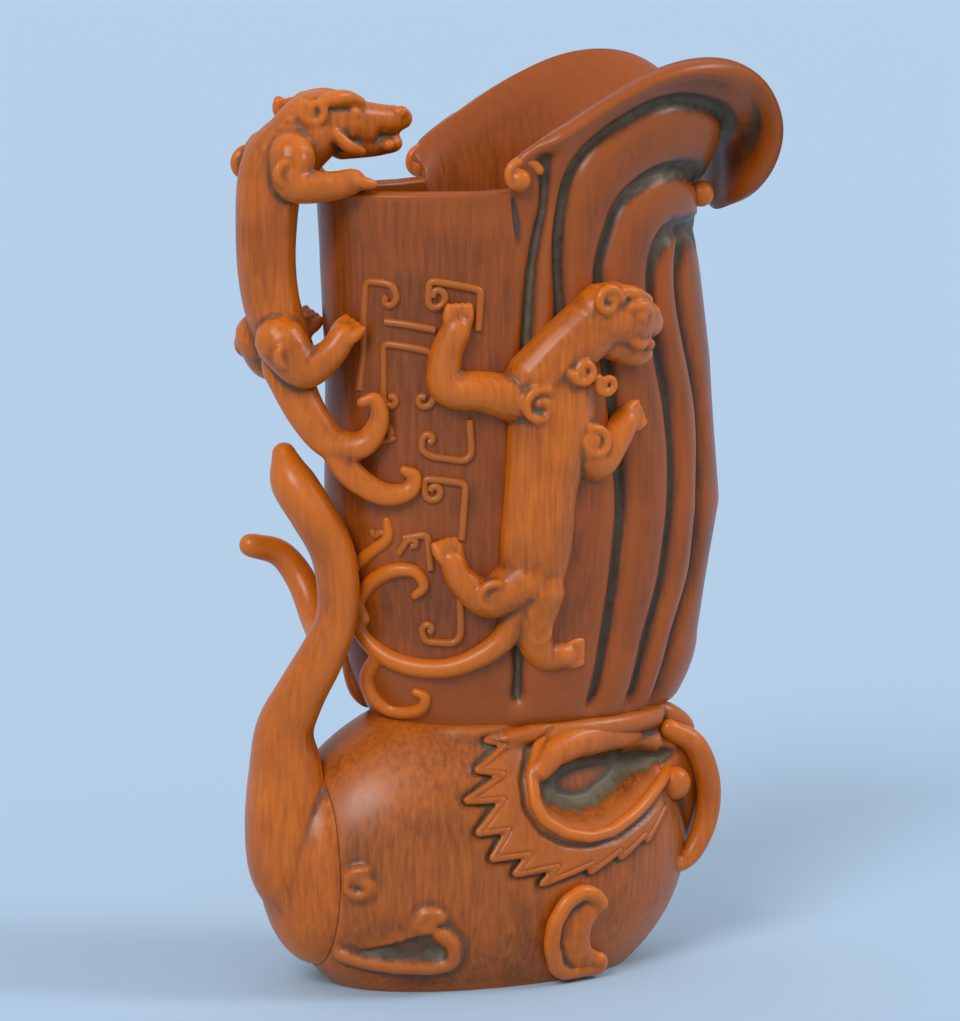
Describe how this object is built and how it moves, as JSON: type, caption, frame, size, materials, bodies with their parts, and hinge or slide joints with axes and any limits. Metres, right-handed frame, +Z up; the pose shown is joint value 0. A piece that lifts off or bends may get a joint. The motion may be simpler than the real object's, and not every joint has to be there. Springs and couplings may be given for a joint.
{
  "type": "carved wooden brush pot",
  "caption": "Carved wooden pot shaped like a drinking horn cup on a crouching beast, with climbing dragons; its open cup holds brushes and it stands on its underside.",
  "frame": {"origin": "middle of the footprint's bounding box, on the ground under the beast", "axes": "+X from the handle dragon to the spout, -Y towards the carved front, +Z up"},
  "size_m": [0.1072, 0.063, 0.1801],
  "materials": {
    "boxwood": "satin",
    "boxwood_dark": "satin"
  },
  "bodies": {
    "root": {"cup_body": "boxwood", "beast_body": "boxwood_dark", "beast_tail": "boxwood", "handle_chilong": "boxwood", "front_chilong": "boxwood", "back_chilong": "boxwood", "ear_front": "boxwood", "snout_scroll_front": "boxwood", "snout_scroll_back": "boxwood", "mane_front": "boxwood_dark", "foot_scroll_front": "boxwood", "ear_back": "boxwood", "mane_back": "boxwood_dark", "foot_scroll_back": "boxwood"}
  },
  "joints": []
}
